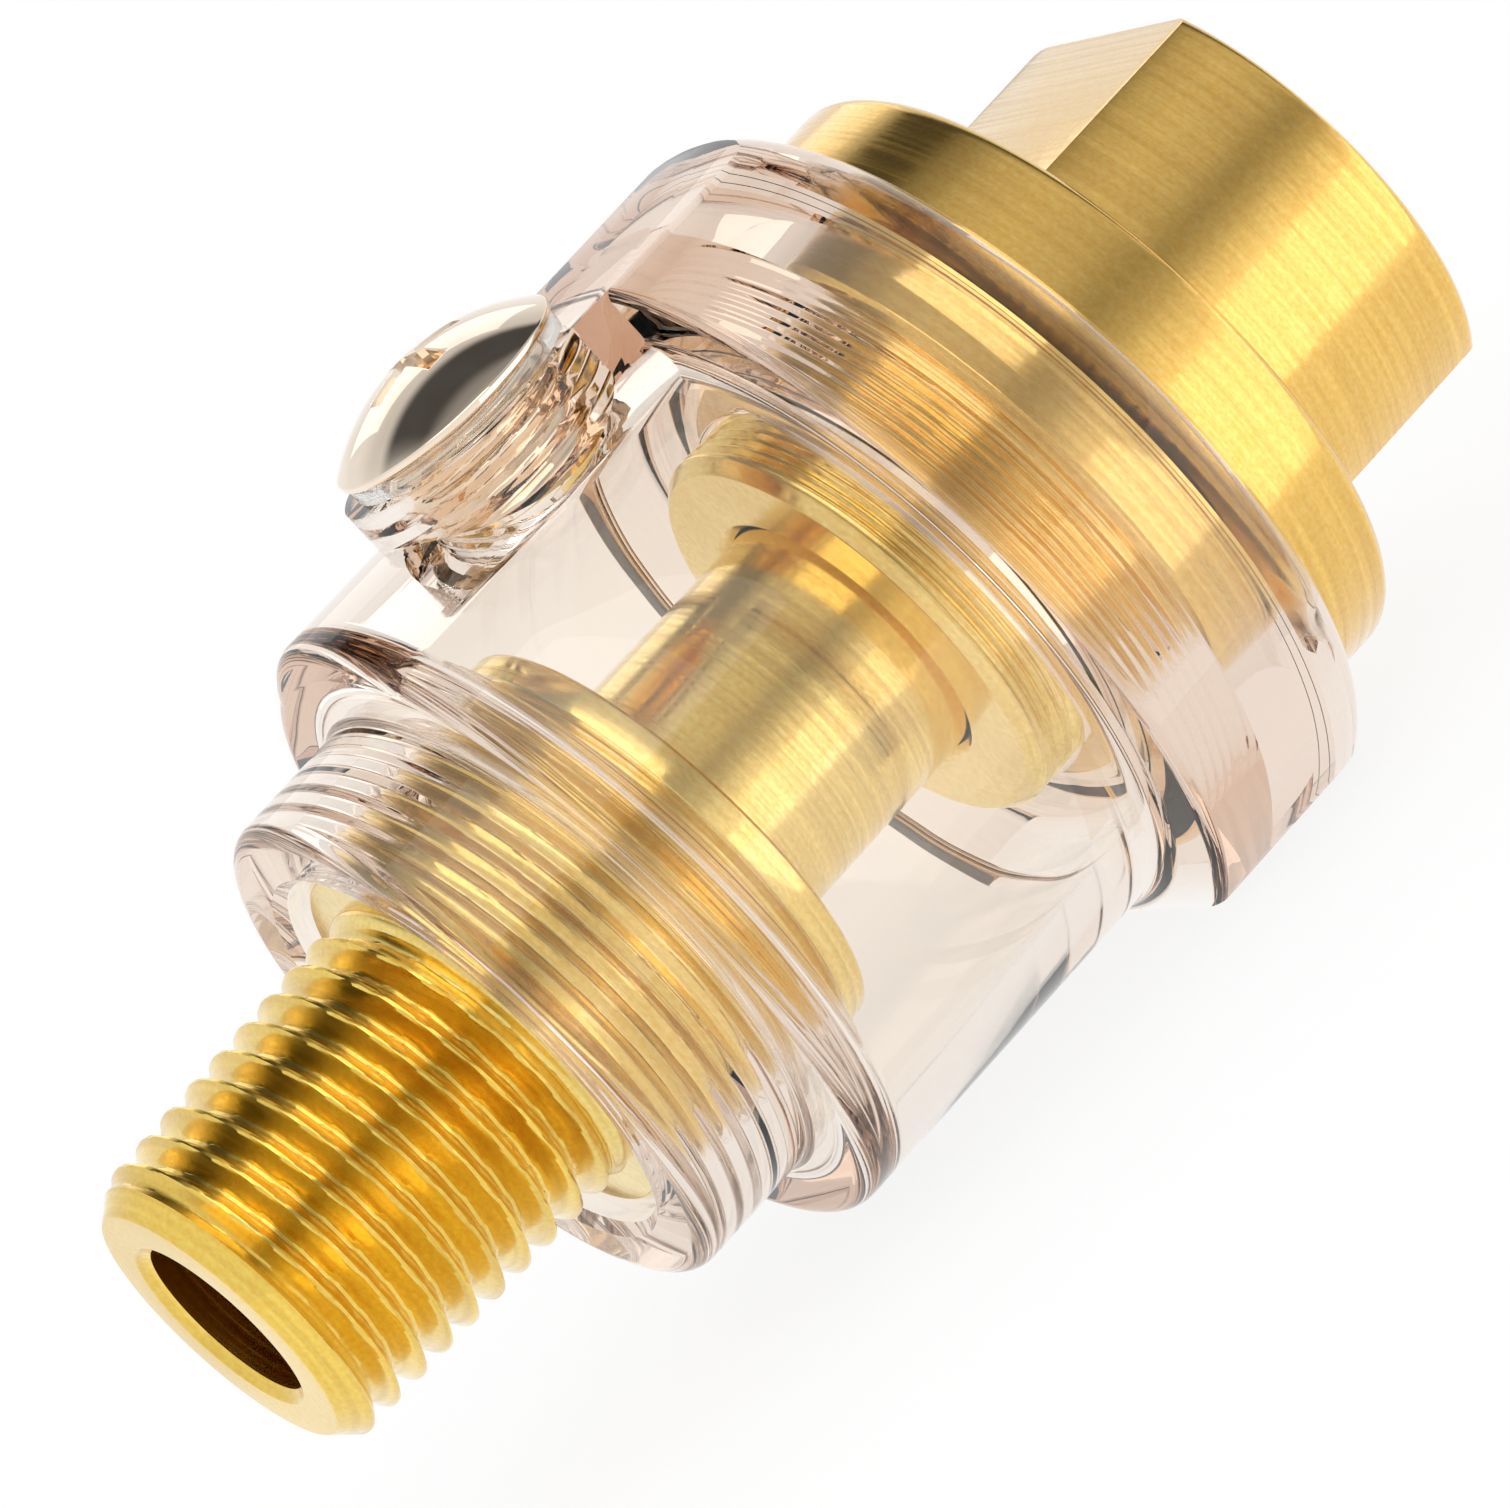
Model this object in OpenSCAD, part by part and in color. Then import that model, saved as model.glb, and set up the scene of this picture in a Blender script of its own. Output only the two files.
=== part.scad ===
// Mini in-line air lubricator for 1/4 inch air lines.
// Air runs along X, from the inlet at +X to the outlet at X = 0.
// The clear oil bowl is filled through the cross-recessed screw on top, at +Z.
// The origin is on the air axis, in the plane of the outlet's end face.

/* [Outlet thread] */
// Major diameter of the 1/4 inch taper thread at its small end
outlet_thread_d = 13.26; // [12.6:0.02:13.8]
// Length of thread that stands out of the neck
outlet_thread_len = 13.7; // [11:0.1:17]
// The taper thread widens by 1 mm of diameter over this length
taper_run = 16; // [12:1:24]
// Chamfer on the thread's end
outlet_chamfer = 0.9; // [0.4:0.1:1.4]
// Pitch of the outlet thread
outlet_pitch = 1.41; // [1:0.01:2]
// Depth of the outlet thread's grooves
outlet_groove = 0.95; // [0.4:0.05:1.1]
// Bore of the air passage
air_bore_d = 7.4; // [5.5:0.1:8]

/* [Stem] */
// Diameter of the stem's threaded collar in the neck
collar_d = 17.8; // [16.6:0.1:18.2]
// Depth of the collar's end face inside the neck
collar_recess = 1; // [0.5:0.1:2]
// Pitch of the collar's thread
collar_pitch = 1; // [0.7:0.05:1.5]
// Depth of the collar's grooves
collar_groove = 0.3; // [0.1:0.05:0.5]
// Land of the flange on the floor of the bowl, outside the collar
stem_flange_land = 0.7; // [0.5:0.1:1.2]
// Thickness of that flange
stem_flange_t = 1.4; // [1:0.1:2.2]
// Diameter of the air tube that runs up through the oil
tube_d = 11.5; // [10.8:0.1:12.4]
// Depth of the tube's end inside the inlet fitting
tube_insert = 4.4; // [4:0.1:5]
// Diameter of the porous oil wick in the tube's wall
wick_d = 2.6; // [2:0.1:3.4]
// Height of the wick's axis over the stem's flange
wick_rise = 2.8; // [2:0.1:5]

/* [End cap] */
// Outer diameter of the neck
neck_d = 23.5; // [22.4:0.1:25]
// Length of the neck below the bowl
neck_len = 5.9; // [5:0.1:8]
// Rounding of the neck's end
neck_round = 0.8; // [0.4:0.1:1.4]
// Depth of the cap's plug inside the bowl
plug_len = 1.9; // [1:0.1:2.4]
// Height of the flange's seat over the plug
seat_rise = 1.5; // [0.8:0.1:2]
// Land of the seat outside the flange's gasket
seat_land = 0.4; // [0.2:0.1:0.6]

/* [Bowl] */
// Outer diameter of the clear bowl
body_d = 29.2; // [28.4:0.1:31]
// Wall of the clear bowl
wall = 1.7; // [1.3:0.1:2]
// Length of the bowl between its lower end and the head
barrel_len = 17; // [15:0.1:20]
// Rounding of the bowl's lower end
end_round = 0.8; // [0.4:0.1:1.2]
// Outer diameter of the head
head_d = 34.9; // [34.6:0.1:38]
// Length of the head
head_len = 9.5; // [9:0.1:11]
// Rounding of the head's upper edge
head_round = 2.2; // [0.8:0.1:2.4]
// Distance from the air axis to the flat that the part lies on
rest_flat = 15.15; // [14.7:0.05:16]
// Distance from the air axis to the face of the filler boss and the head's upper flat
face_z = 16.95; // [16.8:0.05:17.2]
// Roof of the oil space inside the head
roof_inset = 1.8; // [1:0.1:2.2]

/* [Filler] */
// Distance from the head to the axis of the filler
filler_from_head = 5.9; // [5:0.1:7]
// Outer diameter of the filler boss
boss_d = 11.4; // [11:0.1:13]
// Width of the web between the boss and the head
web_w = 8; // [6:0.1:10]
// Distance from the air axis to the back of the ridge that carries the boss
ridge_z = 15.35; // [15:0.05:16.2]
// Radius across the ridge's back
ridge_r = 10; // [8:0.1:11.5]
// Rounding of the ridge's lower end
ridge_round = 0.7; // [0.3:0.1:0.9]
// Diameter of the filler thread
filler_thread_d = 8; // [6:0.1:8.4]
// Diameter of the filler screw's head
screw_head_d = 10.4; // [10:0.1:11.6]
// Height of the head's rim
screw_rim = 0.3; // [0.2:0.05:0.8]
// Rise of the head's dome over its rim
screw_dome = 1.8; // [1:0.05:2.2]
// Length of the cross recess, over its wings
cross_l = 4.6; // [3.6:0.1:6]
// Width of the recess's wings
cross_w = 1; // [0.7:0.05:1.4]
// Depth of the recess below the top of the dome
cross_depth = 1.5; // [0.8:0.05:1.9]
// Thickness of the sealing washer
washer_t = 0.7; // [0.5:0.05:1]
// Width of the sealing washer's ring
washer_w = 0.95; // [0.6:0.05:1.1]

/* [Inlet] */
// Diameter of the brass flange on the head
flange_d = 29; // [27.6:0.1:30]
// Thickness of the brass flange
flange_t = 4.3; // [3.6:0.1:6]
// Diameter of the inlet body
inlet_d = 21.6; // [20.4:0.1:23]
// Length of the inlet body
inlet_len = 9.8; // [8:0.1:13]
// Width across the spanner flats
spanner_af = 17; // [16.5:0.1:19]
// Diameter of the tapped hole for the 1/4 inch thread
inlet_bore_d = 11.2; // [10.8:0.1:12]
// Depth of the tapped hole
inlet_bore_len = 11; // [9:0.1:12]
// Diameter of the smooth spigot in the head
spigot_d = 22.6; // [21.6:0.1:23.4]
// Length of the smooth spigot
spigot_len = 4.1; // [3.6:0.1:5]
// Diameter of the threaded collar under the spigot
inlet_collar_d = 18.6; // [18:0.1:19.6]
// Length of the threaded collar
inlet_collar_len = 6.2; // [5.6:0.1:8]
// Pitch of that collar's fine thread
inlet_collar_pitch = 0.46; // [0.35:0.01:0.8]
// Depth of that collar's grooves
inlet_collar_groove = 0.2; // [0.1:0.05:0.3]
// Edge chamfer of the turned brass
edge = 0.5; // [0.2:0.1:0.8]

/* [Seals] */
// Section of the silicone ring under the brass flange
inlet_ring_t = 1.3; // [1:0.05:1.5]
// Section of the rubber ring on the air tube
tube_ring_t = 1.2; // [1:0.05:1.4]
// Thickness of the gasket under the stem's flange
gasket_t = 0.7; // [0.4:0.05:1]

/* [Clearances] */
// Radial room between mating threads
thread_gap = 0.1; // [0.05:0.01:0.15]
// Radial room between a plug or spigot and its bore
slip_gap = 0.1; // [0.05:0.01:0.2]
// Radial room round the filler screw's shank
screw_gap = 0.08; // [0.03:0.01:0.1]
// Room between the faces of the filler screw, its washer and the boss
face_gap = 0.02; // [0.01:0.01:0.05]

/* [Hidden] */
$fn = 96;

// Small shapes that the pieces share
bowl_fillet = 0.8;
corner_round = 0.5;
roof_round = 1;
socket_end_gap = 0.3;
lead_in = 0.4;
wick_proud = 0.15;
gasket_proud = 0.2;
shank_inset = 0.2;
thread_land = 0.2;
over = 1;

// Stations along the air axis
neck_x = outlet_thread_len;
collar_x = neck_x + collar_recess;
joint_x = neck_x + neck_len;
head_x = joint_x + barrel_len;
flange_x = head_x + head_len;
inlet_x = flange_x + flange_t;
end_x = inlet_x + inlet_len;
seat_x = joint_x + plug_len + seat_rise;
stem_flange_x = seat_x + gasket_t;
tube_x = stem_flange_x + stem_flange_t;
spigot_x = flange_x - spigot_len;
inlet_collar_x = spigot_x - inlet_collar_len;
tube_end_x = inlet_collar_x + tube_insert;
roof_x = head_x + roof_inset;
bore_floor_x = end_x - inlet_bore_len;

// Radii
air_r = air_bore_d / 2;
collar_r = collar_d / 2;
neck_bore_r = collar_r + thread_gap;
cavity_r = body_d / 2 - wall;
plug_r = cavity_r - slip_gap;
stem_flange_r = collar_r + stem_flange_land;
gasket_r = stem_flange_r + gasket_proud;
seat_r = gasket_r + seat_land;
tube_r = tube_d / 2;
socket_r = tube_r + slip_gap;
inlet_collar_r = inlet_collar_d / 2;
head_bore_r = inlet_collar_r + thread_gap;
spigot_r = spigot_d / 2;
spigot_bore_r = spigot_r + slip_gap;
ring_seat_r = spigot_r + inlet_ring_t + slip_gap;
thread_end_r = outlet_thread_d / 2 + collar_x / taper_run / 2;

// Filler heights over the air axis
filler_x = head_x - filler_from_head;
filler_r = filler_thread_d / 2;
shank_r = filler_r - screw_gap;
washer_z = face_z + face_gap;
screw_z = washer_z + washer_t + face_gap;
shank_end_z = cavity_r + shank_inset;

brass = [0.79, 0.62, 0.27];
clear = [0.93, 0.88, 0.83, 0.35];
nickel = [0.74, 0.66, 0.52];
rubber = [0.06, 0.06, 0.06];
silicone = [0.9, 0.87, 0.82];
bronze = [0.55, 0.42, 0.24];

// Points of an arc about (x, r), in degrees
function arc(x, r, radius, from, to, steps = 8) =
    [for (i = [0 : steps])
        let (a = from + (to - from) * i / steps)
        [x + radius * cos(a), r + radius * sin(a)]];

// Points of a row of V grooves along a turned face, with a plain land at each end
function grooved(x0, r0, x1, r1, pitch, depth) =
    let (
        count = floor((x1 - x0) / pitch - thread_land),
        first = (x0 + x1 - count * pitch) / 2
    )
    [for (i = [0 : 2 * count])
        let (x = first + i * pitch / 2)
        [x, r0 + (r1 - r0) * (x - x0) / (x1 - x0) - (i % 2) * depth]];

// Solid turned about the air axis from an outline of (x, r) points
module turned(outline) {
    rotate([0, 90, 0])
        rotate_extrude()
            polygon([for (p = outline) [p[1], p[0]]]);
}

// Ring of round section about the air axis
module round_ring(x, inner_r, section) {
    translate([x, 0, 0])
        rotate([0, 90, 0])
            rotate_extrude()
                translate([inner_r + section / 2, 0])
                    circle(d = section, $fn = 32);
}

// Barrel and head of the bowl, before the flats and the oil space are cut
module bowl_outside() {
    body_r = body_d / 2;
    head_r = head_d / 2;
    turned(concat(
        [[joint_x, 0]],
        arc(joint_x + end_round, body_r - end_round, end_round, 180, 90),
        arc(head_x - bowl_fillet, body_r + bowl_fillet, bowl_fillet, -90, 0),
        arc(head_x + corner_round, head_r - corner_round, corner_round, 180, 90),
        arc(flange_x - head_round, head_r - head_round, head_round, 90, 0),
        [[flange_x, 0]]
    ));
}

// Rounded ridge along the barrel, which carries the boss
module filler_ridge() {
    translate([0, 0, ridge_z - ridge_r])
        turned(concat(
            [[joint_x, 0]],
            arc(joint_x + ridge_round, ridge_r - ridge_round, ridge_round, 180, 90),
            [[head_x + over, ridge_r], [head_x + over, 0]]
        ));
}

// Web between the boss and the head, level with the boss
module filler_web() {
    translate([filler_x, -web_w / 2, 0])
        cube([head_x + over - filler_x, web_w, face_z]);
}

// Oil space, the head's threaded hole, the spigot's bore and the ring's seat
module bowl_inside() {
    turned(concat(
        [[joint_x - over, 0], [joint_x - over, cavity_r]],
        arc(roof_x - roof_round, cavity_r - roof_round, roof_round, 90, 0),
        [
            [roof_x, head_bore_r],
            [spigot_x - slip_gap, head_bore_r],
            [spigot_x - slip_gap, spigot_bore_r],
            [flange_x - inlet_ring_t, spigot_bore_r],
            [flange_x - inlet_ring_t, ring_seat_r],
            [flange_x + over, ring_seat_r],
            [flange_x + over, 0]
        ]
    ));
}

// Clear moulded bowl with its head, ridge, web and filler boss
module bowl() {
    color(clear)
        difference() {
            union() {
                bowl_outside();
                filler_ridge();
                filler_web();
                translate([filler_x, 0, 0])
                    cylinder(d = boss_d, h = face_z);
            }
            bowl_inside();
            // Flat that the part lies on, and the upper flat level with the boss
            translate([head_x - over, -head_d, -rest_flat - head_d])
                cube([head_len + 2 * over, 2 * head_d, head_d]);
            translate([head_x - over, -head_d, face_z])
                cube([head_len + 2 * over, 2 * head_d, head_d]);
            // Filler hole
            translate([filler_x, 0, tube_r])
                cylinder(r = filler_r, h = face_z);
        }
}

// Clear end cap: threaded neck, plug in the bowl's end and the seat of the stem's flange
module end_cap() {
    neck_r = neck_d / 2;
    color(clear)
        turned(concat(
            [[neck_x, neck_bore_r + lead_in]],
            arc(neck_x + neck_round, neck_r - neck_round, neck_round, 180, 90),
            [
                [joint_x, neck_r],
                [joint_x, plug_r],
                [joint_x + plug_len, plug_r],
                [joint_x + plug_len, seat_r],
                [seat_x, seat_r],
                [seat_x, neck_bore_r],
                [neck_x + lead_in, neck_bore_r]
            ]
        ));
}

// Brass outlet: taper thread, threaded collar, flange and air tube in one turned piece
module outlet_stem() {
    ring_x = inlet_collar_x + tube_insert / 2;
    groove_r = tube_r - tube_ring_t + slip_gap;
    groove_w = tube_ring_t + 2 * slip_gap;
    thread_r = outlet_thread_d / 2;
    thread_start_r = thread_r + outlet_chamfer / taper_run / 2;
    color(brass)
        difference() {
            turned(concat(
                [
                    [0, air_r + lead_in],
                    [0, thread_r - outlet_chamfer],
                    [outlet_chamfer, thread_start_r]
                ],
                grooved(outlet_chamfer, thread_start_r, collar_x, thread_end_r, outlet_pitch, outlet_groove),
                [
                    [collar_x, thread_end_r],
                    [collar_x, collar_r - edge],
                    [collar_x + edge, collar_r]
                ],
                grooved(collar_x + edge, collar_r, stem_flange_x, collar_r, collar_pitch, collar_groove),
                [
                    [stem_flange_x, collar_r],
                    [stem_flange_x, stem_flange_r],
                    [tube_x, stem_flange_r],
                    [tube_x, tube_r],
                    [ring_x - groove_w / 2, tube_r],
                    [ring_x - groove_w / 2, groove_r],
                    [ring_x + groove_w / 2, groove_r],
                    [ring_x + groove_w / 2, tube_r],
                    [tube_end_x - lead_in, tube_r],
                    [tube_end_x, tube_r - lead_in],
                    [tube_end_x, air_r],
                    [lead_in, air_r]
                ]
            ));
            // Cross hole for the oil wick
            translate([tube_x + wick_rise, 0, 0])
                rotate([-90, 0, 0])
                    cylinder(d = wick_d, h = tube_d);
        }
}

// Brass inlet: tapped spanner body, flange, smooth spigot and threaded collar
module inlet_fitting() {
    inlet_r = inlet_d / 2;
    flange_r = flange_d / 2;
    color(brass)
        difference() {
            turned(concat(
                [
                    [inlet_collar_x, socket_r + lead_in],
                    [inlet_collar_x, inlet_collar_r - edge],
                    [inlet_collar_x + edge, inlet_collar_r]
                ],
                grooved(
                    inlet_collar_x + edge, inlet_collar_r, spigot_x, inlet_collar_r,
                    inlet_collar_pitch, inlet_collar_groove
                ),
                [
                    [spigot_x, inlet_collar_r],
                    [spigot_x, spigot_r - edge],
                    [spigot_x + edge, spigot_r],
                    [flange_x, spigot_r],
                    [flange_x, flange_r - edge],
                    [flange_x + edge, flange_r],
                    [inlet_x - edge, flange_r],
                    [inlet_x, flange_r - edge],
                    [inlet_x, inlet_r],
                    [end_x - edge, inlet_r],
                    [end_x, inlet_r - edge],
                    [end_x, inlet_bore_d / 2 + edge],
                    [end_x - edge, inlet_bore_d / 2],
                    [bore_floor_x, inlet_bore_d / 2],
                    [bore_floor_x, air_r],
                    [tube_end_x + socket_end_gap, air_r],
                    [tube_end_x + socket_end_gap, socket_r],
                    [inlet_collar_x + lead_in, socket_r]
                ]
            ));
            // Two spanner flats, square to the filler
            for (side = [-1, 1])
                translate([inlet_x, -inlet_d, side > 0 ? spanner_af / 2 : -spanner_af / 2 - inlet_d])
                    cube([inlet_len + over, 2 * inlet_d, inlet_d]);
        }
}

// Silicone ring between the brass flange, the spigot and the head
module inlet_o_ring() {
    color(silicone)
        round_ring(flange_x - inlet_ring_t / 2, spigot_r, inlet_ring_t);
}

// Rubber ring between the air tube and the inlet fitting
module tube_o_ring() {
    color(rubber)
        round_ring(
            inlet_collar_x + tube_insert / 2,
            tube_r - tube_ring_t + slip_gap,
            tube_ring_t
        );
}

// Flat silicone gasket between the stem's flange and its seat on the end cap
module stem_gasket() {
    color(silicone)
        turned([
            [seat_x, neck_bore_r],
            [seat_x, gasket_r],
            [stem_flange_x, gasket_r],
            [stem_flange_x, neck_bore_r]
        ]);
}

// Porous plug that feeds oil through the wall of the air tube
module oil_wick() {
    color(bronze)
        translate([tube_x + wick_rise, air_r + wick_proud, 0])
            rotate([-90, 0, 0])
                cylinder(d = wick_d, h = tube_r - air_r);
}

// Plated filler screw with a domed, cross-recessed head
module filler_screw() {
    head_r = screw_head_d / 2;
    dome_r = (head_r * head_r + screw_dome * screw_dome) / (2 * screw_dome);
    dome_angle = asin(head_r / dome_r);
    rim_z = screw_z + screw_rim;
    dome_z = rim_z + screw_dome - dome_r;
    color(nickel)
        translate([filler_x, 0, 0])
            difference() {
                rotate_extrude()
                    polygon(concat(
                        [
                            [0, shank_end_z],
                            [shank_r - lead_in, shank_end_z],
                            [shank_r, shank_end_z + lead_in],
                            [shank_r, screw_z],
                            [head_r, screw_z]
                        ],
                        arc(0, dome_z, dome_r, 90 - dome_angle, 90, 10)
                    ));
                // Cross recess
                for (turn = [0, 90])
                    rotate([0, 0, turn])
                        translate([-cross_l / 2, -cross_w / 2, rim_z + screw_dome - cross_depth])
                            cube([cross_l, cross_w, 2 * screw_dome]);
            }
}

// Silicone washer under the filler screw's head
module filler_washer() {
    washer_r = filler_r + screw_gap;
    color(silicone)
        translate([filler_x, 0, washer_z])
            difference() {
                cylinder(r = washer_r + washer_w, h = washer_t);
                translate([0, 0, -over])
                    cylinder(r = washer_r, h = washer_t + 2 * over);
            }
}

bowl();
end_cap();
outlet_stem();
inlet_fitting();
inlet_o_ring();
tube_o_ring();
stem_gasket();
oil_wick();
filler_screw();
filler_washer();
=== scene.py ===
# %% [markdown]
# # A mini air lubricator around its CAD frame
# The object is a small in-line oiler for compressed-air tools: a clear moulded oil bowl on a
# turned brass air tube, a male taper thread at one end, a tapped inlet with spanner flats at the
# other, and a plated filler screw in a boss on the side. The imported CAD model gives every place
# and size. This lesson puts finer pieces over it, with real threads and softened edges, and gives
# each one a procedural finish.

# %% Load the frame
import math
from collections import namedtuple

import bmesh
import bpy
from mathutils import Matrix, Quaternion, Vector


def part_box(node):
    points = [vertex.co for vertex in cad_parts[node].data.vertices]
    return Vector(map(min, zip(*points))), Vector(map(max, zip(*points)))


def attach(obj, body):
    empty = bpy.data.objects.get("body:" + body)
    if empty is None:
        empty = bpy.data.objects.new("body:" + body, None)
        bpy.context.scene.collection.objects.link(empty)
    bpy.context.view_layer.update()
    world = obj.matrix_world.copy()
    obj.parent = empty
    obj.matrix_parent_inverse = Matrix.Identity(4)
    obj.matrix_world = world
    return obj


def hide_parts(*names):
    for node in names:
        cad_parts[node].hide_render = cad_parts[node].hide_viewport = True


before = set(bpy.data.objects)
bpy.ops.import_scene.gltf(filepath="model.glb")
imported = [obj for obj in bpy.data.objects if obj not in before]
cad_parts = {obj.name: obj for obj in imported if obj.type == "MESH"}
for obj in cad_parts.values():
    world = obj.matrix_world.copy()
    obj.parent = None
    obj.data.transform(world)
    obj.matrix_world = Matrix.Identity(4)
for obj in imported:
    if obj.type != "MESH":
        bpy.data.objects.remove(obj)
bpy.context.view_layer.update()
scene = bpy.context.scene
scene.view_settings.view_transform = "Standard"

# %% [markdown]
# ## The camera
# The photograph looks at the object from its front, a little from above, with the air axis turned
# about 45 degrees in the picture. A long lens from 40 cm keeps the perspective as gentle as it is
# there. The direction is built from three angles, because a learner can change one of them and
# see what it does.

# %% Camera
CAMERA_TURN = math.radians(17.85)
CAMERA_DROP = math.radians(14.79)
CAMERA_ROLL = math.radians(-42.81)
CAMERA_DISTANCE = 0.40115
CAMERA_AIM = Vector((0.03006, -0.00008, -0.00029))
CAMERA_SENSOR = 36.0
CAMERA_LENS = 255.46

look = Vector((
    math.sin(CAMERA_TURN) * math.cos(CAMERA_DROP),
    math.cos(CAMERA_TURN) * math.cos(CAMERA_DROP),
    -math.sin(CAMERA_DROP),
))
camera_data = bpy.data.cameras.new("photo_camera")
camera_data.sensor_width = CAMERA_SENSOR
camera_data.lens = CAMERA_LENS
camera = bpy.data.objects.new("photo_camera", camera_data)
camera.location = CAMERA_AIM - look * CAMERA_DISTANCE
camera.rotation_mode = "QUATERNION"
roll = Quaternion((0, 0, 1), CAMERA_ROLL)
camera.rotation_quaternion = look.to_track_quat("-Z", "Y") @ roll
scene.collection.objects.link(camera)
scene.camera = camera
print("camera at, mm:", [round(v * 1000, 1) for v in camera.location])

# %% [markdown]
# ## Stations along the air axis
# A turner marks the stations of a piece along its axis before cutting it. Most of them can be read
# from the boxes of the CAD nodes, so the new pieces follow the frame; the few that lie inside a
# solid are added as plain sizes in mm.

# %% Stations
MM = 0.001


def box_mm(node):
    """Lowest and highest corner of a CAD node in mm."""
    low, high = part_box(node)
    return low / MM, high / MM


stem_high = box_mm("outlet_stem")[1]
cap_low, cap_high = box_mm("end_cap")
bowl_low, bowl_high = box_mm("bowl")
inlet_low, inlet_high = box_mm("inlet_fitting")
screw_low, screw_high = box_mm("filler_screw")
gasket_high = box_mm("stem_gasket")[1]
ring_low, ring_high = box_mm("tube_o_ring")
seal_low, seal_high = box_mm("inlet_o_ring")
wick_low, wick_high = box_mm("oil_wick")

NECK_X = cap_low.x
JOINT_X = bowl_low.x
SEAT_X = cap_high.x
HEAD_END_X = bowl_high.x
FACE_Z = bowl_high.z
REST_Z = bowl_low.z
FILLER_X = (screw_low.x + screw_high.x) / 2
HEAD_R = bowl_high.y
stations = (NECK_X, JOINT_X, SEAT_X, HEAD_END_X)
print("neck, joint, seat, head end at x:", [round(v, 2) for v in stations])

# %% [markdown]
# ## Outlines
# Nearly every piece here comes off a lathe or out of a round mould, so each one starts as an
# outline beside the air axis or the screw's axis. The outline's corners carry their own small
# rounding, because a sharp edge catches no light.

# %% Outlines
def on_air_axis(along, radius, angle):
    return (along * MM, radius * math.cos(angle) * MM, radius * math.sin(angle) * MM)


def on_screw_axis(along, radius, angle):
    across = FILLER_X + radius * math.cos(angle)
    return (across * MM, radius * math.sin(angle) * MM, along * MM)


def soften(corners, steps=5):
    """Outline points from corners of (along, radius, rounding)."""
    points = []
    for index, (along, radius, rounding) in enumerate(corners):
        here = Vector((along, radius))
        if rounding == 0:
            points.append((along, radius))
            continue
        back = (Vector(corners[index - 1][:2]) - here).normalized()
        ahead = (Vector(corners[(index + 1) % len(corners)][:2]) - here).normalized()
        half = back.angle(ahead) / 2
        centre = here + (back + ahead).normalized() * rounding / math.sin(half)
        first = here + back * rounding / math.tan(half) - centre
        last = here + ahead * rounding / math.tan(half) - centre
        for step in range(steps + 1):
            point = centre + first.lerp(last, step / steps).normalized() * rounding
            points.append((point.x, point.y))
    return points


# %% [markdown]
# ## Threads
# A thread is a helical groove, so how deep it cuts depends on the place along the axis and on the
# angle around it. It fades out over one pitch at both ends, as a tool that runs in and out leaves
# it. A negative depth cuts outwards, into the wall of a hole.

# %% Threads
CREST = 0.1
FLANKS = 0.78
STRETCH_ROOM = 0.01
RADIUS_ROOM = 0.1
Thread = namedtuple("Thread", "start end low high pitch depth")


def straight_thread(start, end, radius, pitch, depth):
    """A thread on a stretch of one radius."""
    return Thread(start, end, radius - RADIUS_ROOM, radius + RADIUS_ROOM, pitch, depth)


def thread_cut(thread, along, angle):
    """How far a right-hand thread cuts into the radius at one point."""
    phase = (along / thread.pitch - angle / math.tau) % 1.0
    wave = 1.0 - abs(2.0 * phase - 1.0)
    groove = min(1.0, max(0.0, (wave - CREST) / FLANKS))
    run_in = (along - thread.start) / thread.pitch
    run_out = (thread.end - along) / thread.pitch
    fade = min(1.0, run_in, run_out)
    return thread.depth * groove * max(0.0, fade)


def in_thread(thread, point):
    along, radius = point
    in_stretch = thread.start - STRETCH_ROOM <= along <= thread.end + STRETCH_ROOM
    return in_stretch and thread.low <= radius <= thread.high


# %% [markdown]
# ## A lathe in code
# One helper turns an outline about its axis. The Screw and Spin tools could do it too, but a
# helper that lays the rings itself can also cut a thread: where a stretch of the outline is
# threaded, the rings lie close together and the radius follows the helix.

# %% Lathe
SEGMENTS = 160
RINGS_A_PITCH = 20
AXIS_R = 1e-6


def ring_list(outline, threads):
    """Rings of the outline, with close ones where a thread runs."""
    rings = []
    for point, after in zip(outline, outline[1:] + outline[:1]):
        cuts = (t for t in threads if in_thread(t, point) and in_thread(t, after))
        thread = next(cuts, None)
        count = 1
        if thread is not None:
            pitches = abs(after[0] - point[0]) / thread.pitch
            count = max(1, math.ceil(pitches * RINGS_A_PITCH))
        for k in range(count):
            share = k / count
            along = point[0] + (after[0] - point[0]) * share
            radius = point[1] + (after[1] - point[1]) * share
            rings.append((along, radius, thread))
    return rings


def solid(name, verts, faces):
    """A mesh object with its faces turned outwards."""
    mesh = bpy.data.meshes.new(name)
    mesh.from_pydata(verts, [], faces)
    work = bmesh.new()
    work.from_mesh(mesh)
    bmesh.ops.recalc_face_normals(work, faces=work.faces)
    work.to_mesh(mesh)
    work.free()
    piece = bpy.data.objects.new(name, mesh)
    scene.collection.objects.link(piece)
    return piece


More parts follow.
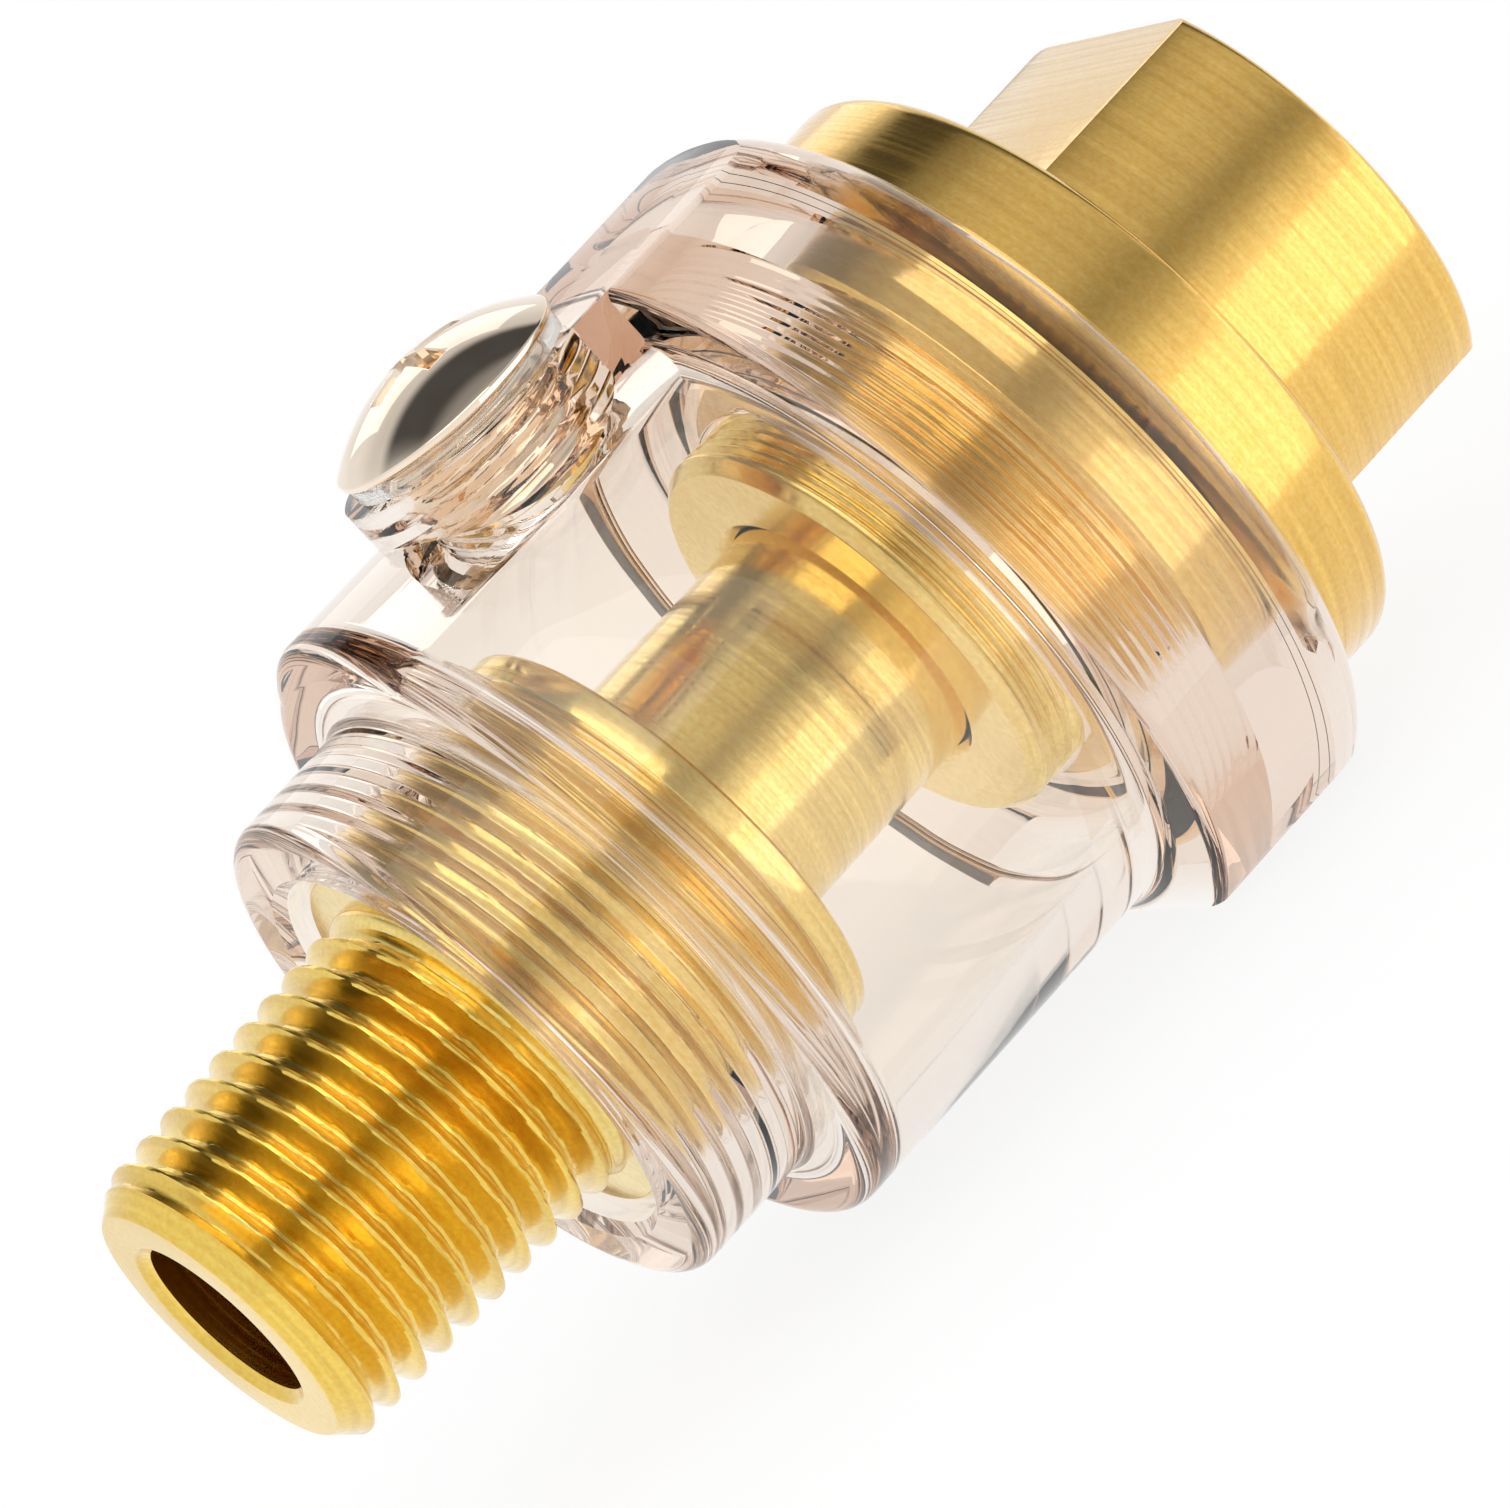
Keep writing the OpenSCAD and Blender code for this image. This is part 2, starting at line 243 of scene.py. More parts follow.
def turn(name, outline, threads=(), place=on_air_axis, segments=SEGMENTS):
    """A solid turned about an axis; an outline that starts and ends on it is closed there."""
    verts, faces, starts = [], [], []
    rings = ring_list(outline, threads)
    for along, radius, thread in rings:
        starts.append(len(verts))
        if radius < AXIS_R:
            verts.append(place(along, 0.0, 0.0))
            continue
        for k in range(segments):
            angle = math.tau * k / segments
            cut = thread_cut(thread, along, angle) if thread else 0.0
            verts.append(place(along, radius - cut, angle))
    last = len(rings) - 1 if rings[0][1] < AXIS_R else len(rings)
    for i in range(last):
        j = (i + 1) % len(rings)
        for k in range(segments):
            n = (k + 1) % segments
            near = [starts[i]] if rings[i][1] < AXIS_R else [starts[i] + k, starts[i] + n]
            far = [starts[j]] if rings[j][1] < AXIS_R else [starts[j] + n, starts[j] + k]
            faces.append(near + far)
    return solid(name, verts, faces)


# %% [markdown]
# ## Milling and moulding helpers
# Slots, flats and cross holes are cut with Boolean modifiers, as a mill would cut them after the
# lathe. Each cut is applied at once, so that the next helper can soften the edges it left.

# %% Cuts and edges
OVER = 1.0
ON_PLANE = 0.002
CLEAR_OF = 0.01
WELD_DISTANCE = 2e-6
EASED_ANGLE = 0.4
SHARP_DEGREES = 32


def block(name, low, high):
    """A cutter with flat sides between two corners in mm."""
    sides = [(low[axis] * MM, high[axis] * MM) for axis in range(3)]
    verts = [(x, y, z) for x in sides[0] for y in sides[1] for z in sides[2]]
    faces = [(0, 1, 3, 2), (4, 6, 7, 5), (0, 4, 5, 1), (2, 3, 7, 6), (0, 2, 6, 4), (1, 5, 7, 3)]
    return solid(name, verts, faces)


def carve(piece, tool, operation="DIFFERENCE"):
    """Applies one Boolean and removes its tool."""
    step = piece.modifiers.new("cut", "BOOLEAN")
    step.object = tool
    step.operation = operation
    step.solver = "EXACT"
    result = piece.evaluated_get(bpy.context.evaluated_depsgraph_get())
    shape = bpy.data.meshes.new_from_object(result)
    piece.modifiers.clear()
    piece.data = shape
    bpy.data.objects.remove(tool)


def ease_edges(piece, width, chosen, segments=2):
    """Bevels the edges whose two faces meet at an angle and whose ends all pass the test."""
    work = bmesh.new()
    work.from_mesh(piece.data)
    bmesh.ops.remove_doubles(work, verts=work.verts, dist=WELD_DISTANCE)
    edges = [
        e for e in work.edges
        if len(e.link_faces) == 2
        and e.calc_face_angle(0.0) > EASED_ANGLE
        and all(chosen(v.co / MM) for v in e.verts)
    ]
    bmesh.ops.bevel(
        work, geom=edges, offset=width * MM, segments=segments,
        profile=0.5, affect="EDGES", clamp_overlap=True,
    )
    work.to_mesh(piece.data)
    work.free()
    return len(edges)


def seat(piece, body, slot, *nodes):
    """Shades a piece and puts it in the frame: what it moves with and what it stands for; slot is
    not used.
    """
    piece.data.shade_smooth()
    piece.data.set_sharp_from_angle(angle=math.radians(SHARP_DEGREES))
    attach(piece, body)
    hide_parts(*nodes)
    print(piece.name, "stands for", ", ".join(nodes), "with", len(piece.data.polygons), "faces")


# %% [markdown]
# ## Brass outlet stem
# One turned piece: the 1/4 inch taper thread that goes into the tool, the threaded collar in the
# clear neck, the flange on the bowl's floor and the air tube. Its threads are real helices,
# because they show large in the picture and a bump map would leave the outline straight.

# %% Outlet stem
TAPER_RUN = 32.0
PIPE_START = 0.5
PIPE_PITCH = 1.411
PIPE_DEPTH = 0.98
OUTLET_CHAMFER = 0.9
COLLAR_RECESS = 1.0
COLLAR_PITCH = 1.0
COLLAR_DEPTH = 0.3
COLLAR_CHAMFER = 0.5
LEAD_IN = 0.4
STEM_FLANGE_T = 1.4
RING_ROOM = 0.1
outlet_r = 6.63
air_r = 3.7
collar_x = NECK_X + COLLAR_RECESS
collar_r = 8.9
flange_x = gasket_high.x
flange_r = stem_high.y
tube_x = flange_x + STEM_FLANGE_T
tube_r = 5.75
groove_low = ring_low.x - RING_ROOM
groove_high = ring_high.x + RING_ROOM
groove_r = 4.65
tube_end = stem_high.x

stem_outline = soften([
    (0, air_r + LEAD_IN, 0.1),
    (0, outlet_r - OUTLET_CHAMFER, 0.15),
    (OUTLET_CHAMFER, outlet_r + OUTLET_CHAMFER / TAPER_RUN, 0),
    (collar_x, outlet_r + collar_x / TAPER_RUN, 0),
    (collar_x, collar_r - COLLAR_CHAMFER, 0.1),
    (collar_x + COLLAR_CHAMFER, collar_r, 0),
    (flange_x, collar_r, 0),
    (flange_x, flange_r, 0.15),
    (tube_x, flange_r, 0.25),
    (tube_x, tube_r, 0.2),
    (groove_low, tube_r, 0),
    (groove_low, groove_r, 0),
    (groove_high, groove_r, 0),
    (groove_high, tube_r, 0),
    (tube_end - LEAD_IN, tube_r, 0),
    (tube_end, tube_r - LEAD_IN, 0),
    (tube_end, air_r, 0),
    (LEAD_IN, air_r, 0),
])
taper_low, taper_high = outlet_r - 0.2, outlet_r + 0.6
stem_threads = [
    Thread(PIPE_START, collar_x, taper_low, taper_high, PIPE_PITCH, PIPE_DEPTH),
    straight_thread(collar_x + LEAD_IN, flange_x, collar_r, COLLAR_PITCH, COLLAR_DEPTH),
]
outlet_stem = turn("brass_outlet_stem", stem_outline, stem_threads)
print("taper thread, turns:", round((collar_x - PIPE_START) / PIPE_PITCH, 1))

# %% [markdown]
# ## Hole for the wick
# A hole is drilled through one wall of the air tube, and the porous wick is pressed into it. The
# cutter is a short cylinder from the tube's axis outwards, so the other wall stays whole.

# %% Wick hole
WICK_SEGMENTS = 32
wick_middle = (wick_low + wick_high) / 2
wick_r = (wick_high.x - wick_low.x) / 2


def on_wick_axis(along, radius, angle):
    across = wick_middle.x + radius * math.cos(angle)
    return (across * MM, along * MM, radius * math.sin(angle) * MM)


wick_hole = [(0.0, 0.0), (0.0, wick_r), (tube_r + OVER, wick_r), (tube_r + OVER, 0.0)]
carve(outlet_stem, turn("wick_hole", wick_hole, place=on_wick_axis, segments=WICK_SEGMENTS))
seat(outlet_stem, "lubricator", "brass", "outlet_stem")

# %% [markdown]
# ## Brass inlet fitting
# Also turned from bar: a fine-threaded collar, a smooth spigot, the wide flange that closes the
# bowl's head, and the body with its tapped hole.

# %% Inlet fitting
FINE_PITCH = 0.46
FINE_DEPTH = 0.2
SEAL_T = 1.3
INLET_FLANGE_T = 4.3
BORE_LENGTH = 11.0
BORE_CHAMFER = 0.6
BORE_THREAD_STOP = 0.5
BORE_THREAD_DEPTH = -0.6
SOCKET_ROOM = 0.3
inlet_x = inlet_low.x
inlet_collar_r = 9.3
spigot_x = 42.0
spigot_r = seal_high.y - SEAL_T
inlet_flange_x = HEAD_END_X
inlet_flange_r = inlet_high.y
body_x = inlet_flange_x + INLET_FLANGE_T
body_r = 10.8
end_x = inlet_high.x
bore_r = 5.6
bore_floor = end_x - BORE_LENGTH
socket_r = 5.85
socket_end = tube_end + SOCKET_ROOM

inlet_outline = soften([
    (inlet_x, socket_r + LEAD_IN, 0),
    (inlet_x, inlet_collar_r - COLLAR_CHAMFER, 0.1),
    (inlet_x + COLLAR_CHAMFER, inlet_collar_r, 0),
    (spigot_x, inlet_collar_r, 0),
    (spigot_x, spigot_r - COLLAR_CHAMFER, 0.1),
    (spigot_x + COLLAR_CHAMFER, spigot_r, 0.1),
    (inlet_flange_x, spigot_r, 0),
    (inlet_flange_x, inlet_flange_r, 0.45),
    (body_x, inlet_flange_r, 0.6),
    (body_x, body_r, 0.15),
    (end_x, body_r, 0.5),
    (end_x, bore_r + BORE_CHAMFER, 0.15),
    (end_x - BORE_CHAMFER, bore_r, 0),
    (bore_floor, bore_r, 0),
    (bore_floor, air_r, 0),
    (socket_end, air_r, 0),
    (socket_end, socket_r, 0),
    (inlet_x + LEAD_IN, socket_r, 0),
])
bore_stop = end_x - BORE_THREAD_STOP
inlet_threads = [
    straight_thread(inlet_x + LEAD_IN, spigot_x, inlet_collar_r, FINE_PITCH, FINE_DEPTH),
    straight_thread(bore_floor, bore_stop, bore_r, PIPE_PITCH, BORE_THREAD_DEPTH),
]
inlet_fitting = turn("brass_inlet_fitting", inlet_outline, inlet_threads)
print("tapped bore, mm deep:", round(end_x - bore_floor, 2))

# %% [markdown]
# ## Spanner flats
# Two flats are milled across the round body after turning, for a 17 mm spanner. They are cut with
# blocks, and the edges that the mill leaves are eased by a hair.

# %% Spanner flats
SPANNER = 17.0
SPANNER_EASE = 0.12
flat_z = SPANNER / 2
for side in (-1, 1):
    near, far = sorted((side * flat_z, side * (flat_z + body_r)))
    flat_low = (body_x, -2 * body_r, near)
    flat_high = (end_x + OVER, 2 * body_r, far)
    carve(inlet_fitting, block("spanner_flat", flat_low, flat_high))


def on_spanner_edge(point):
    return abs(abs(point.z) - flat_z) < ON_PLANE and point.x > body_x + CLEAR_OF


print("eased spanner edges:", ease_edges(inlet_fitting, SPANNER_EASE, on_spanner_edge))
seat(inlet_fitting, "lubricator", "brass", "inlet_fitting")

# %% [markdown]
# ## Clear bowl with its end cap
# The bowl and its end cap are two mouldings, joined so tightly that light passes from one to the
# other. A thin gap between two clear solids would show as a mirror in the render, so this piece
# is one solid for both. The outside is turned first; then the ridge, the web and the filler boss
# are added, and two flats are cut at the top and the bottom.

# %% Clear bowl
RIDGE_TOP_Z = 15.35
RIDGE_SET_BACK = 0.02
BOSS_ROOT_Z = 4.0
BOSS_SEGMENTS = 96
MOULD_EASE = 0.3
WIDE = 30
neck_r = 11.75
barrel_r = 14.6
head_x = 36.6
boss_r = 5.7
web_half = 4.0
ridge_r = 10.0
ridge_axis_z = RIDGE_TOP_Z - ridge_r
ridge_x = JOINT_X + RIDGE_SET_BACK

bowl_outline = soften([
    (NECK_X, 0, 0),
    (NECK_X, neck_r, 0.8),
    (JOINT_X, neck_r, 0.3),
    (JOINT_X, barrel_r, 0.8),
    (head_x, barrel_r, 0.8),
    (head_x, HEAD_R, 0.5),
    (HEAD_END_X, HEAD_R, 2.2),
    (HEAD_END_X, 0, 0),
], steps=8)
clear_bowl = turn("clear_bowl", bowl_outline)


def on_ridge_axis(along, radius, angle):
    up = ridge_axis_z + radius * math.sin(angle)
    return (along * MM, radius * math.cos(angle) * MM, up * MM)


ridge_outline = soften([
    (ridge_x, 0, 0),
    (ridge_x, ridge_r, 0.7),
    (head_x + OVER, ridge_r, 0),
    (head_x + OVER, 0, 0),
])
boss_top = FACE_Z + OVER
boss_outline = [(BOSS_ROOT_Z, 0.0), (BOSS_ROOT_Z, boss_r), (boss_top, boss_r), (boss_top, 0.0)]
web_low = (FILLER_X, -web_half, 0)
web_high = (head_x + OVER, web_half, boss_top)
carve(clear_bowl, turn("ridge", ridge_outline, place=on_ridge_axis), "UNION")
carve(clear_bowl, block("web", web_low, web_high), "UNION")
boss = turn("boss", boss_outline, place=on_screw_axis, segments=BOSS_SEGMENTS)
carve(clear_bowl, boss, "UNION")
for name, low_z, high_z in (("upper_flat", FACE_Z, WIDE), ("rest_flat", -WIDE, REST_Z)):
    flat_low = (JOINT_X - OVER, -WIDE, low_z)
    flat_high = (HEAD_END_X + OVER, WIDE, high_z)
    carve(clear_bowl, block(name, flat_low, flat_high))


def on_moulded_edge(point):
    return abs(point.z - FACE_Z) < ON_PLANE or abs(point.z - REST_Z) < ON_PLANE


eased = ease_edges(clear_bowl, MOULD_EASE, on_moulded_edge, segments=3)
print("eased moulded edges:", eased)

# %% [markdown]
# ## Inside the bowl
# A core in the mould leaves the oil space, the neck's bore and the head's bore, and a second one
# the filler hole. The moulded threads are shallow, so that the brass shows through them with fine
# lines. Each space is turned as a solid and cut out of the bowl.

# %% Inside the bowl
FLOOR_T = 1.9
MOULD_ROOM = 0.1
ROOF_EASE = 0.2
THREAD_EDGE = 0.3
NECK_THREAD_DEPTH = -0.1
HEAD_THREAD_DEPTH = -0.05
HOLE_THREAD_DEPTH = -0.1
SCREW_PITCH = 1.0
neck_bore_r = 9.0
cavity_r = 12.9
seat_r = 10.2
floor_x = JOINT_X + FLOOR_T
roof_x = 38.4
head_bore_r = 9.4
head_bore_end = spigot_x - MOULD_ROOM
spigot_bore_r = spigot_r + MOULD_ROOM
seal_seat_r = seal_high.y + MOULD_ROOM
filler_r = 4.0

space_outline = soften([
    (NECK_X - OVER, 0, 0),
    (NECK_X - OVER, neck_bore_r + LEAD_IN, 0),
    (NECK_X, neck_bore_r + LEAD_IN, 0),
    (NECK_X + LEAD_IN, neck_bore_r, 0),
    (SEAT_X, neck_bore_r, 0),
    (SEAT_X, seat_r, 0.2),
    (floor_x, seat_r, 0.3),
    (floor_x, cavity_r, 0.6),
    (roof_x, cavity_r, 1.0),
    (roof_x, head_bore_r, ROOF_EASE),
    (head_bore_end, head_bore_r, 0),
    (head_bore_end, spigot_bore_r, 0),
    (seal_low.x, spigot_bore_r, 0),
    (seal_low.x, seal_seat_r, 0),
    (HEAD_END_X + OVER, seal_seat_r, 0),
    (HEAD_END_X + OVER, 0, 0),
])
head_start = roof_x + ROOF_EASE
space_threads = [
    straight_thread(NECK_X + LEAD_IN, SEAT_X, neck_bore_r, COLLAR_PITCH, NECK_THREAD_DEPTH),
    straight_thread(head_start, head_bore_end, head_bore_r, FINE_PITCH, HEAD_THREAD_DEPTH),
]
carve(clear_bowl, turn("oil_space", space_outline, space_threads))

hole_outline = [
    (tube_r, 0.0),
    (tube_r, filler_r),
    (FACE_Z - LEAD_IN, filler_r),
    (FACE_Z, filler_r + LEAD_IN),
    (FACE_Z + OVER, filler_r + LEAD_IN),
    (FACE_Z + OVER, 0.0),
]
hole_threads = [
    straight_thread(tube_r, FACE_Z - THREAD_EDGE, filler_r, SCREW_PITCH, HOLE_THREAD_DEPTH),
]
filler_hole = turn("filler_hole", hole_outline, hole_threads, on_screw_axis, BOSS_SEGMENTS)
carve(clear_bowl, filler_hole)
seat(clear_bowl, "lubricator", "clear_plastic", "bowl", "end_cap")

# %% [markdown]
# ## Filler screw
# A plated screw with a low domed head and a cross recess. The shank's thread shows through the
# clear boss as a stack of fine lines, so it is cut as a helix too. The recess is punched on the
# real screw; here two blocks cut it and its edges are eased.

# %% Filler screw
CROSS_L = 4.6
CROSS_W = 1.0
CROSS_DEPTH = 1.5
CROSS_EASE = 0.08
RIM_T = 0.3
DOME_STEPS = 14
SCREW_THREAD_DEPTH = 0.4
SCREW_SEGMENTS = 128
screw_r = (screw_high.x - screw_low.x) / 2
screw_top = screw_high.z
screw_end = screw_low.z
screw_seat_z = 17.69
rim_z = screw_seat_z + RIM_T
dome = screw_top - rim_z
dome_r = (screw_r ** 2 + dome ** 2) / (2 * dome)
dome_angle = math.asin(screw_r / dome_r)
shank_r = 3.92
cross_floor = screw_top - CROSS_DEPTH

dome_points = []
for k in range(DOME_STEPS - 1, 0, -1):
    angle = dome_angle * k / DOME_STEPS
    height = screw_top - dome_r + dome_r * math.cos(angle)
    dome_points.append((height, dome_r * math.sin(angle), 0))
screw_outline = soften([
    (screw_end, 0, 0),
    (screw_end, shank_r - LEAD_IN, 0),
    (screw_end + LEAD_IN, shank_r, 0),
    (screw_seat_z, shank_r, 0),
    (screw_seat_z, screw_r, 0.1),
    (rim_z, screw_r, 0.12),
    *dome_points,
    (screw_top, 0, 0),
])
shank_start = screw_end + THREAD_EDGE
screw_threads = [
    straight_thread(shank_start, screw_seat_z, shank_r, SCREW_PITCH, SCREW_THREAD_DEPTH),
]
filler_screw = turn(
    "filler_screw_head", screw_outline, screw_threads, on_screw_axis, SCREW_SEGMENTS
)
for half_x, half_y in ((CROSS_L / 2, CROSS_W / 2), (CROSS_W / 2, CROSS_L / 2)):
    wing_low = (FILLER_X - half_x, -half_y, cross_floor)
    wing_high = (FILLER_X + half_x, half_y, screw_top + OVER)
    carve(filler_screw, block("wing", wing_low, wing_high))


def on_cross_edge(point):
    across = (abs(point.x - FILLER_X), abs(point.y))
    walls = (CROSS_L / 2, CROSS_W / 2)
    on_wall = any(abs(side - wall) < ON_PLANE for side in across for wall in walls)
    in_cross = max(across) < CROSS_L / 2 + CLEAR_OF
    return on_wall and in_cross and point.z > cross_floor + CLEAR_OF


print("eased cross edges:", ease_edges(filler_screw, CROSS_EASE, on_cross_edge))
seat(filler_screw, "screw", "plated_screw", "filler_screw")

# %% [markdown]
# ## Finishes
# Each finish is a Principled shader fed by noise at the scale of the real surface. Coordinates are
# the object's own, in metres in the CAD frame, so the grain stays where it is on the piece from
# every side.

# %% Material helpers
NOISE_LOW = 0.3
NOISE_HIGH = 0.7


def new_finish(name):
    """A Principled material; returns the material, its nodes, its links and the shader."""
    material = bpy.data.materials.new(name)
    material.use_nodes = True
    nodes = material.node_tree.nodes
    return material, nodes, material.node_tree.links, nodes["Principled BSDF"]


def number(nodes, links, operation, first, second):
    """A Math node on two sockets or plain numbers."""
    node = nodes.new("ShaderNodeMath")
    node.operation = operation
    for socket, source in zip(node.inputs, (first, second)):
        if isinstance(source, (int, float)):
            socket.default_value = source
        else:
            links.new(source, socket)
    return node.outputs[0]


def fill_ramp(ramp, stops):
    """Gives a colour ramp its stops of (position, colour)."""
    elements = ramp.color_ramp.elements
    while len(elements) < len(stops):
        elements.new(0.5)
    for element, (position, colour) in zip(elements, stops):
        element.position = position
        element.color = colour


def grain(nodes, links, scale, detail):
    """Noise in object space, with a scale for each axis in waves a metre."""
    coords = nodes.new("ShaderNodeTexCoord")
    mapping = nodes.new("ShaderNodeMapping")
    mapping.inputs["Scale"].default_value = scale
    noise = nodes.new("ShaderNodeTexNoise")
    noise.inputs["Scale"].default_value = 1.0
    noise.inputs["Detail"].default_value = detail
    links.new(coords.outputs["Object"], mapping.inputs["Vector"])
    links.new(mapping.outputs["Vector"], noise.inputs["Vector"])
    return noise.outputs["Fac"]


def spread(nodes, links, source, low, high):
    """Maps noise to a range of one number."""
    ranged = nodes.new("ShaderNodeMapRange")
    ranged.inputs["From Min"].default_value = NOISE_LOW
    ranged.inputs["From Max"].default_value = NOISE_HIGH
    ranged.inputs["To Min"].default_value = low
    ranged.inputs["To Max"].default_value = high
    links.new(source, ranged.inputs["Value"])
    return ranged.outputs["Result"]


def tint(nodes, links, source, dark, light):
    """Maps noise to a colour between two tones."""
    ramp = nodes.new("ShaderNodeValToRGB")
    fill_ramp(ramp, ((NOISE_LOW, dark), (NOISE_HIGH, light)))
    links.new(source, ramp.inputs["Fac"])
    return ramp.outputs["Color"]


def blend(nodes, links, tone, shade_tone):
    """One tone multiplied by another."""
    mix = nodes.new("ShaderNodeMix")
    mix.data_type = "RGBA"
    mix.blend_type = "MULTIPLY"
    mix.inputs["Factor"].default_value = 1.0
    links.new(tone, mix.inputs[6])
    links.new(shade_tone, mix.inputs[7])
    return mix.outputs[2]


def relief(nodes, links, source, strength, distance, under=None):
    """Bump from a height, over an earlier bump where there is one."""
    bump = nodes.new("ShaderNodeBump")
    bump.inputs["Strength"].default_value = strength
    bump.inputs["Distance"].default_value = distance
    links.new(source, bump.inputs["Height"])
    if under is not None:
        links.new(under, bump.inputs["Normal"])
    return bump.outputs["Normal"]


def dress(finish, source, tones, gloss, bump):
    """Feeds a finish's colour, roughness and relief from one noise."""
    nodes, links, shader = finish[1:]
    links.new(tint(nodes, links, source, *tones), shader.inputs["Base Color"])
    links.new(spread(nodes, links, source, *gloss), shader.inputs["Roughness"])
    links.new(relief(nodes, links, source, *bump), shader.inputs["Normal"])


# %% [markdown]
# ### Turned brass
# Bright free-cutting brass. The turning tool leaves fine rings, which change the tone and the
# gloss from ring to ring, and small specks lie over them. The tone along the air axis is painted
# light: the brass inside the bowl is painted paler, as a painted veil of light from the plastic
# over it, and the outlet thread a deeper gold, as painted shade between its turns; the inlet lies
# between.

# %% Brass
# Painted light along the air axis: the paler tone inside the bowl is a painted veil of light from
# the plastic, and the deeper gold on the outlet thread is painted shade.
OUTLET_PAINTED_SHADE = (0.95, 0.8, 0.34, 1)
BOWL_PAINTED_VEIL = (1, 0.95, 0.79, 1)
INLET_PAINTED_TONE = (0.96, 0.74, 0.43, 1)
PAINTED_LIGHT_ALONG_AXIS = (
    (0, OUTLET_PAINTED_SHADE), (NECK_X - 0.5, OUTLET_PAINTED_SHADE), (NECK_X + 1, BOWL_PAINTED_VEIL),
    (HEAD_END_X - 0.3, BOWL_PAINTED_VEIL), (HEAD_END_X, INLET_PAINTED_TONE), (end_x, INLET_PAINTED_TONE),
)
SPECK_TONES = ((0.94, 0.73, 0.26, 1), (1.0, 0.88, 0.43, 1))
RING_TONES = ((0.84, 0.8, 0.74, 1), (1.0, 1.0, 1.0, 1))

brass, nodes, links, shader = new_finish("turned_brass")
shader.inputs["Metallic"].default_value = 1.0
shader.inputs["Coat Weight"].default_value = 0.5
shader.inputs["Coat Roughness"].default_value = 0.1
rings = grain(nodes, links, (4600, 60, 60), 2.0)
specks = grain(nodes, links, (6500, 3800, 3800), 2.0)
speck_tone = tint(nodes, links, specks, *SPECK_TONES)
ring_tone = tint(nodes, links, rings, *RING_TONES)

axis_place = nodes.new("ShaderNodeSeparateXYZ")
links.new(nodes.new("ShaderNodeTexCoord").outputs["Object"], axis_place.inputs[0])
axis_share = nodes.new("ShaderNodeMapRange")
axis_share.inputs["From Max"].default_value = end_x * MM
links.new(axis_place.outputs["X"], axis_share.inputs["Value"])
# This ramp lays that painted light and painted shade onto the brass along the air axis.
painted_light_ramp = nodes.new("ShaderNodeValToRGB")
fill_ramp(painted_light_ramp, [(station / end_x, tone) for station, tone in PAINTED_LIGHT_ALONG_AXIS])
links.new(axis_share.outputs["Result"], painted_light_ramp.inputs["Fac"])

turned_tone = blend(nodes, links, speck_tone, ring_tone)
painted_light_tone = blend(nodes, links, turned_tone, painted_light_ramp.outputs["Color"])
links.new(painted_light_tone, shader.inputs["Base Color"])
links.new(spread(nodes, links, rings, 0.28, 0.08), shader.inputs["Roughness"])
speck_relief = relief(nodes, links, specks, 0.2, 0.00001)
ring_relief = relief(nodes, links, rings, 0.15, 0.000008, speck_relief)
links.new(ring_relief, shader.inputs["Normal"])
for piece in (outlet_stem, inlet_fitting):
    piece.data.materials.append(brass)
print("brass on", outlet_stem.name, "and", inlet_fitting.name)

# %% [markdown]
# ### Clear moulding
# A clear plastic with a faint warm cast that deepens with its thickness, so the colour is an
# absorption inside the solid and not only a tint on its surface. The mould is polished, so the
# surface has no roughness. A slow ripple stands for the flow of the moulding.

# %% Clear plastic
clear, nodes, links, shader = new_finish("clear_moulding")
shader.inputs["Base Color"].default_value = (0.985, 0.95, 0.905, 1)
shader.inputs["Transmission Weight"].default_value = 1.0
shader.inputs["IOR"].default_value = 1.49
shader.inputs["Roughness"].default_value = 0.0
absorption = nodes.new("ShaderNodeVolumeAbsorption")
absorption.inputs["Color"].default_value = (0.7, 0.37, 0.1, 1)
absorption.inputs["Density"].default_value = 33.0
links.new(absorption.outputs["Volume"], nodes["Material Output"].inputs["Volume"])
flow = grain(nodes, links, (150, 210, 210), 1.0)
links.new(relief(nodes, links, flow, 0.1, 0.0002), shader.inputs["Normal"])
clear_bowl.data.materials.append(clear)
print("clear moulding on", clear_bowl.name)

# %% [markdown]
# ### Plated screw
# Nickel plate over brass has a warm grey tone. A faint cloud in the plate changes its tone and
# its gloss a little from place to place.

# %% Plating
PLATE_TONES = ((0.87, 0.72, 0.57, 1), (0.96, 0.84, 0.7, 1))
plate_finish = new_finish("warm_nickel_plate")
plate, nodes, links, shader = plate_finish
shader.inputs["Metallic"].default_value = 1.0
cloud = grain(nodes, links, (420, 420, 420), 4.0)
dress(plate_finish, cloud, PLATE_TONES, (0.03, 0.08), (0.05, 0.00003))
filler_screw.data.materials.append(plate)
print("plating on", filler_screw.name)

# %% [markdown]
# ### Silicone seals
# The seals keep their CAD shapes, which are right as they are: rings of round or flat section.
# The ring under the brass flange and the gasket are pressed between plastic and brass, with no
# film of air around them, so they hardly bend light and nearly vanish. The washer under the
# screw's head meets the air and is a little milky.

# %% Silicone
SILICONE_TONES = ((0.96, 0.93, 0.88, 1), (0.99, 0.97, 0.94, 1))


def silicone(name, body, index):
    """A pale silicone; body is how milky it is, index how strongly it bends light."""
    finish = new_finish(name)
    material, nodes, links, shader = finish
    shader.inputs["Transmission Weight"].default_value = 1.0 - body
    shader.inputs["IOR"].default_value = index
    cloud = grain(nodes, links, (700, 700, 700), 4.0)
    dress(finish, cloud, SILICONE_TONES, (0.03, 0.08), (0.1, 0.00005))
    return material


pressed_seal = silicone("pressed_silicone", 0.0, 1.04)
washer_seal = silicone("pale_silicone", 0.12, 1.25)
print("silicones:", pressed_seal.name, "and", washer_seal.name)

